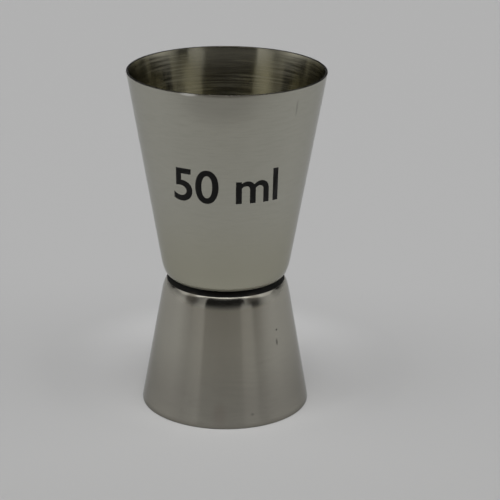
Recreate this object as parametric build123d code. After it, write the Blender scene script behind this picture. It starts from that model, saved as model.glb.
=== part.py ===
from build123d import *
import os
from math import atan2, cos, degrees, pi, radians, sin, tan

# A double-ended bar jigger: two cups deep-drawn from stainless steel sheet, set
# base to base and joined by spot welds. The large cup opens upwards and holds
# 50 ml; the small cup opens downwards, holds 25 ml and is the foot.
#
# Frame: +Z is the common axis of the cups. The origin is on that axis, in the
# plane of the small cup's rim, which is the surface that the jigger stands on.

# ---- driving dimensions, millimetres ----
overall_height = 80.0
waist_height = 31.25  # plane in which the two flat bases touch
sheet_thickness = 0.5

large_rim_diameter = 45.5  # outside, at the brim
large_base_diameter = 28.7  # outside, where the cone would meet the base plane
large_corner_radius = 2.3  # outside, where the bend leaves the base

small_rim_diameter = 39.4
small_base_diameter = 28.3
small_corner_radius = 3.0

blend_radius = 9.6  # outside, gentler end of each bend, where it runs out into the wall
blend_turn = radians(13)  # share of the bend that is drawn to this radius

rim_edge_radius = 0.12  # deburred edges, inside and outside of each rim

weld_count = 3
weld_circle_diameter = 12.0
nugget_diameter = 3.6
nugget_edge_radius = 0.1
nugget_penetration = 0.22  # depth of fused metal in each of the two bases
electrode_mark_diameter = 4.4  # dish that the welding tip leaves in the base
electrode_mark_depth = 0.08

parts_folder = "parts"


def rounded_frustum(rim_radius, base_radius, height, corner_radius, wall_blend_radius):
    """Solid cone standing on its small end at the origin, its base corner bent in two arcs."""
    taper = atan2(rim_radius - base_radius, height)
    corner_turn = pi / 2 - taper - blend_turn
    corner_tangent = corner_radius * tan(corner_turn / 2)
    between_corners = corner_tangent + wall_blend_radius * tan(blend_turn / 2)
    rise = between_corners * sin(corner_turn)
    flat_radius = base_radius + rise * tan(taper) - between_corners * cos(corner_turn) - corner_tangent
    flat = Line((0, 0), (flat_radius, 0))
    corner = JernArc(flat @ 1, (1, 0), corner_radius, degrees(corner_turn))
    blend = JernArc(corner @ 1, corner % 1, wall_blend_radius, degrees(blend_turn))
    wall = Line(blend @ 1, (rim_radius, height))
    half_section = make_face([flat, corner, blend, wall, Polyline(wall @ 1, (0, height), (0, 0))])
    return revolve(Plane.XZ * half_section, Axis.Z)


def drawn_cup(rim_diameter, base_diameter, height, corner_radius):
    """One cup, open upwards, standing on its base at the origin, with a wall of constant thickness."""
    rim_radius = rim_diameter / 2
    base_radius = base_diameter / 2
    taper = atan2(rim_radius - base_radius, height)
    wall_across_axis = sheet_thickness / cos(taper)
    floor_radius = base_radius + sheet_thickness * tan(taper) - wall_across_axis
    outside = rounded_frustum(rim_radius, base_radius, height, corner_radius, blend_radius)
    inside = rounded_frustum(
        rim_radius - wall_across_axis,
        floor_radius,
        height - sheet_thickness,
        corner_radius - sheet_thickness,
        blend_radius - sheet_thickness,
    )
    cup = outside - Pos(0, 0, sheet_thickness) * inside
    rim_edges = cup.edges().group_by(Axis.Z)[-1]
    return fillet(rim_edges, rim_edge_radius)


def at_each_weld(tool):
    """The tool repeated at every weld, as a list of separate shapes."""
    return [place * tool for place in PolarLocations(weld_circle_diameter / 2, weld_count)]


def weld_nugget():
    """Fused metal of one spot weld, a flat button lying half in each base."""
    button = Cylinder(nugget_diameter / 2, 2 * nugget_penetration)
    return fillet(button.edges().filter_by(GeomType.CIRCLE), nugget_edge_radius)


def electrode_dish():
    """Cap of the domed welding tip, which cuts its shallow dish into a floor at z = 0."""
    mark_radius = electrode_mark_diameter / 2
    tip_radius = (mark_radius**2 + electrode_mark_depth**2) / (2 * electrode_mark_depth)
    tip = Pos(0, 0, tip_radius - electrode_mark_depth) * Sphere(tip_radius)
    return tip & Cylinder(electrode_mark_diameter, 2 * electrode_mark_depth)


def welded_cup(rim_diameter, base_diameter, height, corner_radius):
    """A drawn cup with the weld pockets under its base and the tip marks on its floor."""
    cup = drawn_cup(rim_diameter, base_diameter, height, corner_radius)
    cup -= at_each_weld(weld_nugget())
    return cup - at_each_weld(Pos(0, 0, sheet_thickness) * electrode_dish())


large_cup = Pos(0, 0, waist_height) * welded_cup(
    large_rim_diameter,
    large_base_diameter,
    overall_height - waist_height,
    large_corner_radius,
)
small_cup = Pos(0, 0, waist_height) * Rot(X=180) * welded_cup(
    small_rim_diameter,
    small_base_diameter,
    waist_height,
    small_corner_radius,
)
spot_welds = Compound(at_each_weld(Pos(0, 0, waist_height) * weld_nugget()))

os.makedirs(parts_folder, exist_ok=True)
for node_name, shape in {
    "large_cup": large_cup,
    "small_cup": small_cup,
    "spot_welds": spot_welds,
}.items():
    export_step(shape, os.path.join(parts_folder, node_name + ".step"))
    print(node_name, round(shape.volume, 2), "mm3")


def capacity_ml(rim_diameter, base_diameter, height, corner_radius):
    """Brimful volume of a cup, without the dishes of the welding tips."""
    cup = drawn_cup(rim_diameter, base_diameter, height, corner_radius)
    outside = rounded_frustum(
        rim_diameter / 2, base_diameter / 2, height, corner_radius, blend_radius)
    return (outside.volume - cup.volume) / 1000


print("large cup holds", round(capacity_ml(
    large_rim_diameter, large_base_diameter, overall_height - waist_height, large_corner_radius), 1), "ml")
print("small cup holds", round(capacity_ml(
    small_rim_diameter, small_base_diameter, waist_height, small_corner_radius), 1), "ml")
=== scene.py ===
from math import atan2, cos, pi, radians, sin, tan

import bmesh
import bpy
from mathutils import Matrix, Vector


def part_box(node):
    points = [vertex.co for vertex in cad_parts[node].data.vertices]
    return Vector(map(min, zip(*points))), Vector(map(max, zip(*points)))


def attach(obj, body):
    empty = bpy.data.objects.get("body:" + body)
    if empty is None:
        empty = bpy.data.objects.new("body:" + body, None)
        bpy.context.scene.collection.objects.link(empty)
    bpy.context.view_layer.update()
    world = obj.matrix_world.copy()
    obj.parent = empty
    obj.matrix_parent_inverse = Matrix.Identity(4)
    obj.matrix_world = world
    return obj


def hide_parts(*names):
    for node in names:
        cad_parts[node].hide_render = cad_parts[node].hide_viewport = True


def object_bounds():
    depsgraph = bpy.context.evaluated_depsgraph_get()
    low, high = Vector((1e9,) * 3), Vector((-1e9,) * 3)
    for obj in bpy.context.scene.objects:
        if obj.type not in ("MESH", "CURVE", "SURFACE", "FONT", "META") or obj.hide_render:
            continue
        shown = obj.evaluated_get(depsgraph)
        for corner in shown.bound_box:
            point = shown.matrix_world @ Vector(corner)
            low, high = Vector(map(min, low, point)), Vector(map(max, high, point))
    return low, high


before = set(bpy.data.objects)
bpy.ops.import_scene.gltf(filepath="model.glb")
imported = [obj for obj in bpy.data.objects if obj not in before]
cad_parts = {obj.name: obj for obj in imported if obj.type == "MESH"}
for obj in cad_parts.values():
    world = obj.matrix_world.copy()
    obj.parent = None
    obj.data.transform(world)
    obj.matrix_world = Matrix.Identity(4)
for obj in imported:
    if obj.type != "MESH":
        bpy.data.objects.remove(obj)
cad_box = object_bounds()
scene = bpy.context.scene
scene.view_settings.view_transform = "Standard"
mm = 0.001

# ---- Camera ----
# A long lens at arm's length, looking down on the jigger. It is aimed a little to the right of the
# jigger and below its middle, and leans by a third of a degree.
camera_distance = 431.4 * mm
camera_elevation = radians(19.44)
camera_yaw = radians(-0.744)
camera_pitch = radians(-0.399)
camera_roll = radians(0.338)

camera = bpy.data.objects.new("camera", bpy.data.cameras.new("camera"))
scene.collection.objects.link(camera)
scene.camera = camera
camera.data.lens = 133.5
camera.data.sensor_width = 36
camera.data.clip_start = 0.01
aim = Vector((0, 0, cad_box[1].z / 2))
back = Vector((0, -cos(camera_elevation), sin(camera_elevation)))
turn = Matrix.Rotation(pi / 2 - camera_elevation, 4, "X")
turn = turn @ Matrix.Rotation(camera_yaw, 4, "Y") @ Matrix.Rotation(camera_pitch, 4, "X")
turn = turn @ Matrix.Rotation(camera_roll, 4, "Z")
camera.matrix_world = Matrix.Translation(aim + back * camera_distance) @ turn

# ---- Floor and light ----
# A sheet of pale paper in a tent of white cloth. The tent has a dark opening at the front, a bright
# strip each side of it, bright side walls, a dark back and a lamp overhead. The paper's colour is
# painted greyer towards the opening, as painted shade, and paler round the foot, as a painted pool
# of light that takes away most of the jigger's shadow.
floor_radius = 4.0
painted_shade_starts_at = -10 * mm
painted_shade_middle_at = -120 * mm
painted_shade_deepest_at = -300 * mm
painted_light_centre = (0, 20 * mm, 0)
painted_light_full_within = 16 * mm
painted_light_ends_at = 46 * mm


def srgb(code):
    """Linear RGBA of a colour written as an sRGB hex code."""
    parts = [int(code[i:i + 2], 16) / 255 for i in (1, 3, 5)]
    return [p / 12.92 if p <= 0.04045 else ((p + 0.055) / 1.055) ** 2.4 for p in parts] + [1]


def add(tree, kind, inputs=None, **settings):
    """Adds a node. Each input is given a plain value or the output that it is linked to."""
    node = tree.nodes.new("ShaderNode" + kind)
    for name, value in settings.items():
        setattr(node, name, value)
    for socket, value in (inputs or {}).items():
        if isinstance(value, bpy.types.NodeSocket):
            tree.links.new(value, node.inputs[socket])
        else:
            node.inputs[socket].default_value = value
    return node


def new_material(name):
    """An empty node material and its tree."""
    material = bpy.data.materials.new(name)
    material.use_nodes = True
    material.node_tree.nodes.clear()
    return material, material.node_tree


def link_piece(name, bm, materials):
    """Makes a smooth-shaded object of a bmesh and puts it in the scene."""
    mesh = bpy.data.meshes.new(name)
    bm.to_mesh(mesh)
    bm.free()
    mesh.shade_smooth()
    for material in materials:
        mesh.materials.append(material)
    piece = bpy.data.objects.new(name, mesh)
    scene.collection.objects.link(piece)
    return piece


# Matt paper gives the eye a pale grey with no shine. Its colour holds painted shade towards the
# opening and a painted pool of light round the foot, which leaves only a soft shade there.
paper, tree = new_material("pale_paper")
place = add(tree, "TexCoord").outputs["Object"]
across = add(tree, "SeparateXYZ", {0: place}).outputs["Y"]
# Painted shade: the paper's colour turns greyer towards the opening, where the light falls off.
painted_shade_first = add(tree, "MapRange", {
    "Value": across, "From Min": painted_shade_middle_at, "From Max": painted_shade_starts_at}).outputs[0]
painted_shade_second = add(tree, "MapRange", {
    "Value": across, "From Min": painted_shade_middle_at, "From Max": painted_shade_deepest_at}).outputs[0]
painted_shade_near_tone = add(tree, "Mix", {
    "Factor": painted_shade_first, "A": srgb("#B7B7B6"), "B": srgb("#C0C0C0")}, data_type="RGBA")
painted_shade_tone = add(tree, "Mix", {
    "Factor": painted_shade_second, "A": painted_shade_near_tone.outputs["Result"], "B": srgb("#A39D94")}, data_type="RGBA")
# Painted light: a paler patch round the back of the foot takes away most of the jigger's shadow.
away = add(tree, "VectorMath", {0: place, 1: painted_light_centre}, operation="DISTANCE").outputs["Value"]
painted_light_round_foot = add(tree, "MapRange", {
    "Value": away, "From Min": painted_light_ends_at, "From Max": painted_light_full_within},
    interpolation_type="SMOOTHSTEP").outputs[0]
tone = add(tree, "Mix", {
    "Factor": painted_light_round_foot, "A": painted_shade_tone.outputs["Result"], "B": srgb("#DEDEDE")}, data_type="RGBA")
shade = add(tree, "BsdfPrincipled", {"Base Color": tone.outputs["Result"], "Roughness": 0.9})
add(tree, "OutputMaterial", {"Surface": shade.outputs["BSDF"]})
bm = bmesh.new()
bmesh.ops.create_circle(bm, cap_ends=True, segments=64, radius=floor_radius)
floor = link_piece("floor", bm, [paper])


def brightness_round(tree, turn, stops):
    """Grey ramp of brightness against degrees round from the camera's side, to the right positive."""
    ramp = add(tree, "ValToRGB", {"Fac": turn})
    while len(ramp.color_ramp.elements) < len(stops):
        ramp.color_ramp.elements.new(0.5)
    for element, (degrees_round, level) in zip(ramp.color_ramp.elements, stops):
        element.position = 0.5 + degrees_round / 360
        element.color = (level, level, level, 1)
    return ramp.outputs[0]


world = bpy.data.worlds.new("light_tent")
scene.world = world
world.use_nodes = True
tree = world.node_tree
tree.nodes.clear()
way = add(tree, "SeparateXYZ", {0: add(tree, "TexCoord").outputs["Generated"]}).outputs
forward = add(tree, "Math", {0: way["Y"], 1: -1.0}, operation="MULTIPLY")
bearing = add(tree, "Math", {0: way["X"], 1: forward.outputs[0]}, operation="ARCTAN2")
compass = add(tree, "MapRange", {"Value": bearing.outputs[0], "From Min": -pi, "From Max": pi}).outputs[0]

# The bands of the tent from the paper up, each in pairs of degrees round and brightness. The height
# at which the crown begins differs round the tent, so its edge is in pairs of degrees round and up.
foot = brightness_round(tree, compass, [
    (-180, 0.34), (-122, 0.34), (-112, 0.38), (-90, 0.58), (-80, 0.54), (-72, 0.26), (-60, 0.14),
    (-54, 0.38), (-38, 0.5), (-35, 0.17), (15, 0.17), (25, 0.2), (27, 0.42), (46, 0.4), (49, 0.03),
    (59, 0.03), (70, 0.3), (82, 0.46), (94, 0.48), (110, 0.34), (120, 0.34), (180, 0.34)])
walls = brightness_round(tree, compass, [
    (-180, 0.2), (-122, 0.2), (-114, 0.33), (-104, 0.28), (-88, 0.4), (-70, 0.36), (-62, 0.22),
    (-54, 0.16), (-48, 0.3), (-38, 0.36), (-36, 0.004), (6, 0.004), (12, 0.02), (27, 0.03), (31, 0.3),
    (38, 0.26), (43, 0.16), (49, 0.04), (58, 0.05), (64, 0.17), (72, 0.32), (80, 0.44), (90, 0.46),
    (104, 0.25), (111, 0.36), (120, 0.2), (180, 0.2)])
upper_walls = brightness_round(tree, compass, [
    (-180, 0.01), (-119, 0.01), (-114, 0.31), (-104, 0.27), (-88, 0.35), (-74, 0.28), (-60, 0.24),
    (-52, 0.2), (-44, 0.28), (-38, 0.34), (-36, 0.003), (34, 0.003), (37, 0.3), (41, 0.28),
    (50, 0.2), (62, 0.24), (72, 0.26), (80, 0.3), (90, 0.34), (104, 0.23), (111, 0.34), (115, 0.01),
    (180, 0.01)])
crown_edge = brightness_round(tree, compass, [
    (azimuth, sin(radians(elevation))) for azimuth, elevation in (
        (-180, 62), (-121, 58), (-114, 28), (-90, 20), (-80, 23), (-68, 31), (-56, 41), (-45, 51),
        (38, 51), (50, 39), (62, 29), (76, 20), (90, 17), (110, 28), (116, 58), (180, 62))])
crown = brightness_round(tree, compass, [
    (-180, 0.15), (-124, 0.15), (-115, 0.5), (-88, 0.66), (-78, 0.85), (-68, 1.15), (-50, 1.6),
    (50, 1.6), (60, 1.15), (72, 0.8), (90, 0.65), (112, 0.55), (120, 0.15), (180, 0.15)])
zenith = brightness_round(tree, compass, [
    (-180, 0.5), (-75, 0.5), (-60, 8.2), (-50, 8.2), (-49, 16.0), (-41, 16.0), (-40, 8.2),
    (60, 8.2), (75, 0.5), (180, 0.5)])


def spread_over(tree, under, over, height, low, high):
    """Brightness that turns from under to over as the height goes from low to high."""
    rise = add(tree, "MapRange", {"Value": height, "From Min": low, "From Max": high},
               interpolation_type="SMOOTHSTEP").outputs[0]
    return add(tree, "Mix", {"Factor": rise, "A": under, "B": over}, data_type="RGBA").outputs["Result"]


crown_softness = 0.04
over_edge = add(tree, "Math", {0: way["Z"], 1: crown_edge}, operation="SUBTRACT").outputs[0]
tent = spread_over(tree, foot, walls, way["Z"], sin(radians(2)), sin(radians(12)))
tent = spread_over(tree, tent, upper_walls, way["Z"], sin(radians(10)), sin(radians(20)))
tent = spread_over(tree, tent, crown, over_edge, -crown_softness, crown_softness)
tent = spread_over(tree, tent, zenith, way["Z"], sin(radians(66)), sin(radians(72)))
glow = add(tree, "Background", {"Color": tent, "Strength": 1.0})
add(tree, "OutputWorld", {"Surface": glow.outputs["Background"]})

# ---- Large cup ----
# The 50 ml measure: a cone drawn from 0.5 mm stainless sheet, with a filed rim. Its base is spot
# welded to the small cup's. The outside is satin brushed and the inside is turned.
sheet = 0.5 * mm
edge_radius = 0.12 * mm
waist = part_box("small_cup")[1].z
large_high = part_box("large_cup")[1]
large_base_radius = 14.35 * mm
large_corner_radius = 2.3 * mm
blend_radius = 9.6 * mm
blend_turn = radians(13)
steps_round = 192
corner_steps = 20
edge_steps = 6
wall_step = 1 * mm
dish_step = 0.25 * mm
merge_distance = 0.001 * mm
weld_count = 3
weld_circle_radius = 6 * mm
dish_radius = 2.2 * mm
dish_depth = 0.08 * mm
drawn_within = 2.5 * mm
drawn_until = 4.5 * mm
drawn_roughness = 0.13
waist_colour_within = 3 * mm
waist_colour_until = 24 * mm
# Heights between which the groove is painted black as shade.
groove_shade_from = (waist - 1.1 * mm, waist - 1.02 * mm)
groove_shade_to = (waist + 0.02 * mm, waist + 0.12 * mm)
groove_shade_roughness = 0.7
scuffed_to = (waist + 0.9 * mm, waist + 1.3 * mm)
scuffed_roughness = 0.42


def rounded_line(bm, corners):
    """A chain of edges in the XZ plane through corners (x, z, rounding radius, steps)."""
    places = [Vector((x, 0, z)) for x, z, _, _ in corners]
    last = bm.verts.new(places[0])
    for before, corner, after, (_, _, radius, steps) in zip(places, places[1:], places[2:], corners[1:]):
        heading = (corner - before).normalized()
        turned = heading.angle(after - corner)
        side = heading.cross(after - corner).normalized()
        start = corner - heading * radius * tan(turned / 2)
        point = bm.verts.new(start)
        bm.edges.new((last, point))
        arc = bmesh.ops.spin(bm, geom=[point], cent=start + side.cross(heading) * radius, axis=side,
                             dvec=(0, 0, 0), angle=turned, steps=steps)
        last = arc["geom_last"][0]
    bm.edges.new((last, bm.verts.new(places[-1])))


def bend(foot_radius, foot_height, taper, first_radius, second_radius):
    """Two corners whose roundings meet in a tangent and end in a wall that rises from the foot."""
    corner_turn = pi / 2 - taper - blend_turn
    apart = first_radius * tan(corner_turn / 2) + second_radius * tan(blend_turn / 2)
    rise = apart * sin(corner_turn)
    knee = foot_radius + rise * tan(taper)
    return [(knee - apart * cos(corner_turn), foot_height, first_radius, corner_steps),
            (knee, foot_height + rise, second_radius, edge_steps)]


def spun_cup(widest, base_radius, height, corner_radius):
    """A cup open upwards, standing on its base at the origin: its half section, spun round the axis."""
    # The edge is rounded off, so the cone is drawn to a sharp rim that is a little wider than the cup.
    taper = atan2(widest - base_radius, height)
    rim_radius = widest + edge_radius * (tan(taper) + 1 / cos(taper) - 1)
    taper = atan2(rim_radius - base_radius, height)
    wall_across = sheet / cos(taper)
    floor_edge = base_radius + sheet * tan(taper) - wall_across
    bm = bmesh.new()
    rounded_line(bm, [
        (0, 0, 0, 0),
        *bend(base_radius, 0, taper, corner_radius, blend_radius),
        (rim_radius, height, edge_radius, edge_steps),
        (rim_radius - wall_across, height, edge_radius, edge_steps),
        *reversed(bend(floor_edge, sheet, taper, corner_radius - sheet, blend_radius - sheet)),
        (0, sheet, 0, 0)])
    for edge in [e for e in bm.edges if e.calc_length() > 2 * wall_step]:
        on_floor = all(v.co.z == edge.verts[0].co.z > 0 for v in edge.verts)
        step = dish_step if on_floor else wall_step
        bmesh.ops.subdivide_edges(bm, edges=[edge], cuts=round(edge.calc_length() / step))
    bmesh.ops.spin(bm, geom=bm.verts[:] + bm.edges[:], cent=(0, 0, 0), axis=(0, 0, 1),
                   dvec=(0, 0, 0), angle=2 * pi, steps=steps_round, use_merge=True)
    bmesh.ops.remove_doubles(bm, verts=bm.verts, dist=merge_distance)
    bmesh.ops.recalc_face_normals(bm, faces=bm.faces)
    floor_verts = [v for v in bm.verts if abs(v.co.z - sheet) < merge_distance]
    for number in range(weld_count):
        round_axis = Matrix.Rotation(2 * pi * number / weld_count, 3, "Z")
        centre = round_axis @ Vector((weld_circle_radius, 0, sheet))
        for vert in floor_verts:
            away = (vert.co - centre).xy.length / dish_radius
            vert.co.z -= dish_depth * max(0, 1 - away ** 2)
    for face in bm.faces:
        middle = face.calc_center_median()
        outward = Vector((middle.x, middle.y, 0)).normalized().dot(face.normal)
        if middle.z > height - edge_radius:
            face.material_index = 2
        elif outward < 0 or face.normal.z > 0.9:
            face.material_index = 1
    return bm


def brushed_steel(name, colours, roughness, grain, spread, depth):
    """Steel rubbed round the axis: the lines are noise, drawn out round the cup, in mm long and tall.
    The colours are two of the bare steel, which run into each other in clouds, and one of the lines.
    Real lines are near 0.05 mm tall. That is too fine to show, so they are drawn coarser."""
    material, tree = new_material(name)
    place = add(tree, "TexCoord").outputs["Object"]
    long, tall = grain
    drawn_out = add(tree, "Mapping", {"Vector": place, "Scale": (1 / long, 1 / long, 1 / tall)})
    lines = add(tree, "TexNoise", {
        "Vector": drawn_out.outputs[0], "Scale": 1.0, "Detail": 3.0, "Roughness": 0.6})
    clouds = add(tree, "TexNoise", {"Vector": place, "Scale": 1 / (9 * mm), "Detail": 2.0})
    bare = add(tree, "Mix", {
        "Factor": clouds.outputs["Fac"], "A": srgb(colours[0]), "B": srgb(colours[1])}, data_type="RGBA")
    scored = add(tree, "MapRange", {"Value": lines.outputs["Fac"], "From Min": 0.45, "From Max": 0.65})
    tone = add(tree, "Mix", {
        "Factor": scored.outputs[0], "A": bare.outputs["Result"], "B": srgb(colours[2])}, data_type="RGBA")
    rubbed = add(tree, "MapRange", {
        "Value": scored.outputs[0], "To Min": roughness[0], "To Max": roughness[1]})
    scratches = add(tree, "Bump", {"Height": lines.outputs["Fac"], "Distance": depth})
    around = add(tree, "Tangent", direction_type="RADIAL", axis="Z")
    shade = add(tree, "BsdfPrincipled", {
        "Base Color": tone.outputs["Result"], "Metallic": 1.0, "Roughness": rubbed.outputs[0],
        "Specular Tint": srgb("#E7E7E7"), "Anisotropic": spread, "Anisotropic Rotation": 0.25,
        "Tangent": around.outputs[0], "Normal": scratches.outputs[0]})
    add(tree, "OutputMaterial", {"Surface": shade.outputs["BSDF"]})
    return material


def lay_over(material, socket, share, value):
    """Covers what feeds one of the steel's sockets with a value, by share: 0 is bare, 1 is covered."""
    tree = material.node_tree
    steel = tree.nodes["Principled BSDF"]
    bare = steel.inputs[socket].links[0].from_socket
    kind = "RGBA" if socket == "Base Color" else "FLOAT"
    covered = add(tree, "Mix", {"Factor": share, "A": bare, "B": value}, data_type=kind)
    tree.links.new(covered.outputs["Result"], steel.inputs[socket])


def stain(material, colour, marks):
    """Marks on a cup's outside, each in degrees round from the front, height, half width, half height
    and strength. They take the colour."""
    tree = material.node_tree
    place = add(tree, "SeparateXYZ", {0: add(tree, "TexCoord").outputs["Object"]}).outputs
    behind = add(tree, "Math", {0: place["Y"], 1: -1.0}, operation="MULTIPLY").outputs[0]
    turned = add(tree, "Math", {0: place["X"], 1: behind}, operation="ARCTAN2").outputs[0]
    flat = add(tree, "CombineXYZ", {0: turned, 1: place["Z"]}).outputs[0]
    for degrees_round, height, half_width, half_height, strength in marks:
        middle = (radians(degrees_round), height, 0)
        away = add(tree, "VectorMath", {0: flat, 1: middle}, operation="SUBTRACT").outputs[0]
        per_half = (large_base_radius / half_width, 1 / half_height, 0)
        halves = add(tree, "VectorMath", {0: away, 1: per_half}, operation="MULTIPLY").outputs[0]
        from_middle = add(tree, "VectorMath", {0: halves}, operation="LENGTH").outputs["Value"]
        inside = add(tree, "MapRange", {
            "Value": from_middle, "From Min": 1.0, "From Max": 0.3, "To Max": strength},
            interpolation_type="SMOOTHSTEP").outputs[0]
        lay_over(material, "Base Color", inside, colour)


def finish_waist(material, waist_colour):
    """Near the waist the wheels don't reach: the bend keeps its smooth drawn skin, and its colour turns
    darker and yellower towards the waist. The groove is painted black and not metal: painted shade."""
    tree = material.node_tree
    height = add(tree, "SeparateXYZ", {0: add(tree, "TexCoord").outputs["Object"]}).outputs["Z"]
    away = add(tree, "Math", {0: height, 1: waist}, operation="SUBTRACT").outputs[0]
    away = add(tree, "Math", {0: away}, operation="ABSOLUTE").outputs[0]
    drawn = add(tree, "MapRange", {
        "Value": away, "From Min": drawn_until, "From Max": drawn_within}).outputs[0]
    # The colour turns darker and yellower towards the waist.
    towards_waist_colour = add(tree, "MapRange", {
        "Value": away, "From Min": waist_colour_until, "From Max": waist_colour_within},
        interpolation_type="SMOOTHSTEP").outputs[0]
    # Painted shade: the groove between the cups is painted black, with the metal taken away.
    over = add(tree, "MapRange", {
        "Value": height, "From Min": groove_shade_from[0], "From Max": groove_shade_from[1]}).outputs[0]
    under = add(tree, "MapRange", {
        "Value": height, "From Min": groove_shade_to[1], "From Max": groove_shade_to[0]}).outputs[0]
    painted_groove_shade = add(tree, "Math", {0: over, 1: under}, operation="MULTIPLY").outputs[0]
    bare_of_groove_shade = add(tree, "Math", {0: 1.0, 1: painted_groove_shade}, operation="SUBTRACT").outputs[0]
    tree.links.new(bare_of_groove_shade, tree.nodes["Principled BSDF"].inputs["Metallic"])
    lay_over(material, "Roughness", drawn, drawn_roughness)
    lay_over(material, "Roughness", painted_groove_shade, groove_shade_roughness)
    lay_over(material, "Base Color", towards_waist_colour, waist_colour)
    lay_over(material, "Base Color", painted_groove_shade, srgb("#080704"))


fine_grain = (4 * mm, 0.35 * mm)
fine_depth = 0.0002 * mm

# Satin steel draws what it reflects out into broad soft bands, so the cone looks pale and even.
outside_steel = brushed_steel(
    "satin_steel", ("#B9B8AD", "#B6B5AA", "#B4B3A8"), roughness=(0.19, 0.23), grain=fine_grain,
    spread=0.8, depth=fine_depth)
# Turned steel shows clear upright bands, crossed by thin rings that catch the light.
inside_steel = brushed_steel(
    "turned_steel", ("#BAB6A1", "#B4B1A0", "#C4C0AC"), roughness=(0.13, 0.235),
    grain=(12 * mm, 0.26 * mm), spread=0.91, depth=0.003 * mm)
# The filed edge of the sheet is dull, so it outlines the rim with a thin dark line.
rim_steel = brushed_steel(
    "deburred_steel", ("#5B5850", "#57544D", "#55524B"), roughness=(0.26, 0.32), grain=fine_grain,
    spread=0.5, depth=fine_depth)
finish_waist(outside_steel, srgb("#B1AF9F"))

# The corner of the base is scuffed. It mixes the light below it into a pale line over the dark groove.
tree = outside_steel.node_tree
height = add(tree, "SeparateXYZ", {0: add(tree, "TexCoord").outputs["Object"]}).outputs["Z"]
scuffed = add(tree, "MapRange", {
    "Value": height, "From Min": scuffed_to[1], "From Max": scuffed_to[0]}).outputs[0]
lay_over(outside_steel, "Roughness", scuffed, scuffed_roughness)

# Near the rim: an upright scratch; a dark band and a duller patch at the front, both painted dark
# reflection; and a painted glint.
stain(outside_steel, srgb("#55534C"), [(44.2, 75.5 * mm, 0.25 * mm, 2.6 * mm, 0.3)])
# Painted dark reflection: a dark band just under the front of the rim.
stain(outside_steel, srgb("#3C3A35"), [(0, 80.0 * mm, 6 * mm, 0.8 * mm, 0.6)])
# Painted dark reflection: a duller patch at the front, below the rim.
stain(outside_steel, srgb("#8C8A83"), [(-3, 79 * mm, 8 * mm, 8 * mm, 0.38)])
# Painted highlight: a glint on the rim and on the wall just under it.
for glint_material in (outside_steel, rim_steel):
    stain(glint_material, srgb("#F2F1EC"), [(-21.5, 79.8 * mm, 1.7 * mm, 0.5 * mm, 0.7)])

bm = spun_cup(large_high.x, large_base_radius, large_high.z - waist, large_corner_radius)
bmesh.ops.translate(bm, verts=bm.verts, vec=(0, 0, waist))
large_cup = link_piece("large_measure", bm, [outside_steel, inside_steel, rim_steel])
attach(large_cup, "root")
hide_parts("large_cup")

# ---- Small cup ----
# The 25 ml measure, drawn like the large one and stood on its mouth, so it is the jigger's foot. Its
# outside is polished, with a few pits. It is darker towards the foot and has painted shade along the edge
# on the table.
small_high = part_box("small_cup")[1]
small_base_radius = 14.15 * mm
small_corner_radius = 3.0 * mm
darkest_at_foot = 4 * mm
darkening_from = 20 * mm
contact_shade_full = 0.1 * mm
contact_shade_top = 1.2 * mm

# Polished steel mirrors the tent as upright strips with clear sides, and darker than the satin.
polished_steel = brushed_steel(
    "polished_steel", ("#B8B6AA", "#AEAAA0", "#B0ADA2"), roughness=(0.18, 0.195), grain=fine_grain,
    spread=0.9, depth=fine_depth)
finish_waist(polished_steel, srgb("#B4B1A6"))

# Pits with black in them, two dark patches below the groove that are painted dark reflections, and a faint
# brown run at the foot.
stain(polished_steel, srgb("#1C1A16"), [
    (47.5, 21.2 * mm, 0.35 * mm, 0.35 * mm, 0.8), (46.3, 18.4 * mm, 0.4 * mm, 1.1 * mm, 0.55),
    (19.3, 3.1 * mm, 0.4 * mm, 0.45 * mm, 0.4), (-25.5, 5.6 * mm, 0.4 * mm, 0.3 * mm, 0.2)])
# Painted dark reflections on the shoulder, each side of the bright strips.
stain(polished_steel, srgb("#554E42"), [
    (-33, waist - 1.9 * mm, 2.4 * mm, 1.5 * mm, 0.7), (26, waist - 1.9 * mm, 2.5 * mm, 1.5 * mm, 0.6)])
stain(polished_steel, srgb("#7A5346"), [(-3.7, 3.4 * mm, 1.6 * mm, 4.0 * mm, 0.14)])

# The lower half turns darker towards the foot, and a line of painted contact shade darkens the edge on the
# table.
tree = polished_steel.node_tree
height = add(tree, "SeparateXYZ", {0: add(tree, "TexCoord").outputs["Object"]}).outputs["Z"]
darker_towards_foot = add(tree, "MapRange", {
    "Value": height, "From Min": darkening_from, "From Max": darkest_at_foot, "To Max": 0.36},
    interpolation_type="SMOOTHSTEP").outputs[0]
# Painted shade along the edge where the foot meets the table.
painted_contact_shade = add(tree, "MapRange", {
    "Value": height, "From Min": contact_shade_top, "From Max": contact_shade_full, "To Max": 0.4}).outputs[0]
lay_over(polished_steel, "Base Color", darker_towards_foot, srgb("#7D7973"))
lay_over(polished_steel, "Base Color", painted_contact_shade, srgb("#3A3833"))

bm = spun_cup(small_high.x, small_base_radius, waist, small_corner_radius)
bmesh.ops.rotate(bm, verts=bm.verts, cent=(0, 0, 0), matrix=Matrix.Rotation(pi, 3, "X"))
bmesh.ops.translate(bm, verts=bm.verts, vec=(0, 0, waist))
small_cup = link_piece("small_measure", bm, [polished_steel, inside_steel, rim_steel])
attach(small_cup, "root")
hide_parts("small_cup")

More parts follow.
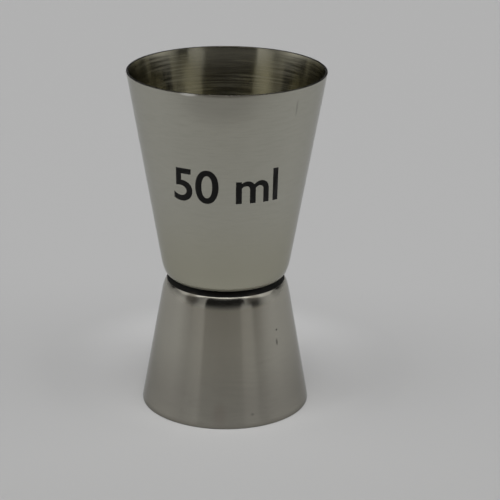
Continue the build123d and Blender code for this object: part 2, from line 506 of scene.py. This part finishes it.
# ---- Spot welds ----
# Three buttons of metal fused between the two bases by resistance welding, grey-brown from the heat.
# They are sealed in, so only a cup that is cut open would show them.
# The heated metal is cloudy and dull, with a grain like cast metal.
weld_steel, tree = new_material("heat_tinted_steel")
place = add(tree, "TexCoord").outputs["Object"]
cloud = add(tree, "TexNoise", {"Vector": place, "Scale": 1 / (1.5 * mm), "Detail": 3.0})
tint = add(tree, "Mix", {"Factor": cloud.outputs["Fac"], "A": srgb("#8C8579"), "B": srgb("#6E7078")},
           data_type="RGBA")
grains = add(tree, "Bump", {"Height": cloud.outputs["Fac"], "Distance": 0.02 * mm})
shade = add(tree, "BsdfPrincipled", {
    "Base Color": tint.outputs["Result"], "Metallic": 1.0, "Roughness": 0.45, "Normal": grains.outputs[0]})
add(tree, "OutputMaterial", {"Surface": shade.outputs["BSDF"]})
for slot in bpy.data.objects["spot_welds"].material_slots:
    slot.material = weld_steel

# ---- Volume mark ----
# The cup's measure, pad printed in black ink on the front of the large cup. The ink is a film that
# follows the cone.
mark_centre = 57.6 * mm
mark_size = 11.3 * mm
ink_thickness = 0.03 * mm
strip_width = 0.5 * mm
mark_half_width = 1.3 * mark_size
large_taper = atan2(large_high.x - large_base_radius, large_high.z - waist)

lettering = bpy.data.curves.new("volume_mark", "FONT")
lettering.body = "50 ml"
lettering.size = mark_size
lettering.align_x = "CENTER"
lettering.align_y = "CENTER"
lettering.extrude = ink_thickness
lettering.offset = 0.015 * mark_size
writing = bpy.data.objects.new("writing", lettering)
scene.collection.objects.link(writing)
bpy.context.view_layer.update()
flat_mark = bpy.data.meshes.new_from_object(writing)
bpy.data.objects.remove(writing)
bm = bmesh.new()
bm.from_mesh(flat_mark)
bmesh.ops.remove_doubles(bm, verts=bm.verts, dist=merge_distance)
half_strips = int(mark_half_width / strip_width)
for number in range(-half_strips, half_strips + 1):
    bmesh.ops.bisect_plane(bm, geom=bm.verts[:] + bm.edges[:] + bm.faces[:], dist=0.0001 * mm,
                           plane_co=(number * strip_width, 0, 0), plane_no=(1, 0, 0))
for vert in bm.verts:
    height = mark_centre + vert.co.y * cos(large_taper)
    radius = large_base_radius + (height - waist) * tan(large_taper)
    around = vert.co.x / radius
    vert.co = Vector((sin(around), -cos(around), 0)) * (radius + vert.co.z) + Vector((0, 0, height))

# The ink is black and nearly matt. Its speckle keeps the letters from looking like cut holes.
ink, tree = new_material("printing_ink")
place = add(tree, "TexCoord").outputs["Object"]
speckle = add(tree, "TexNoise", {"Vector": place, "Scale": 1 / (0.4 * mm), "Detail": 3.0})
gloss = add(tree, "MapRange", {"Value": speckle.outputs["Fac"], "To Min": 0.35, "To Max": 0.55})
density = add(tree, "Mix", {"Factor": speckle.outputs["Fac"], "A": srgb("#0C0C0B"), "B": srgb("#141413")},
              data_type="RGBA")
shade = add(tree, "BsdfPrincipled", {
    "Base Color": density.outputs["Result"], "Roughness": gloss.outputs[0], "IOR": 1.5,
    "Specular IOR Level": 0.2})
add(tree, "OutputMaterial", {"Surface": shade.outputs["BSDF"]})
volume_mark = link_piece("volume_mark", bm, [ink])
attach(volume_mark, "root")
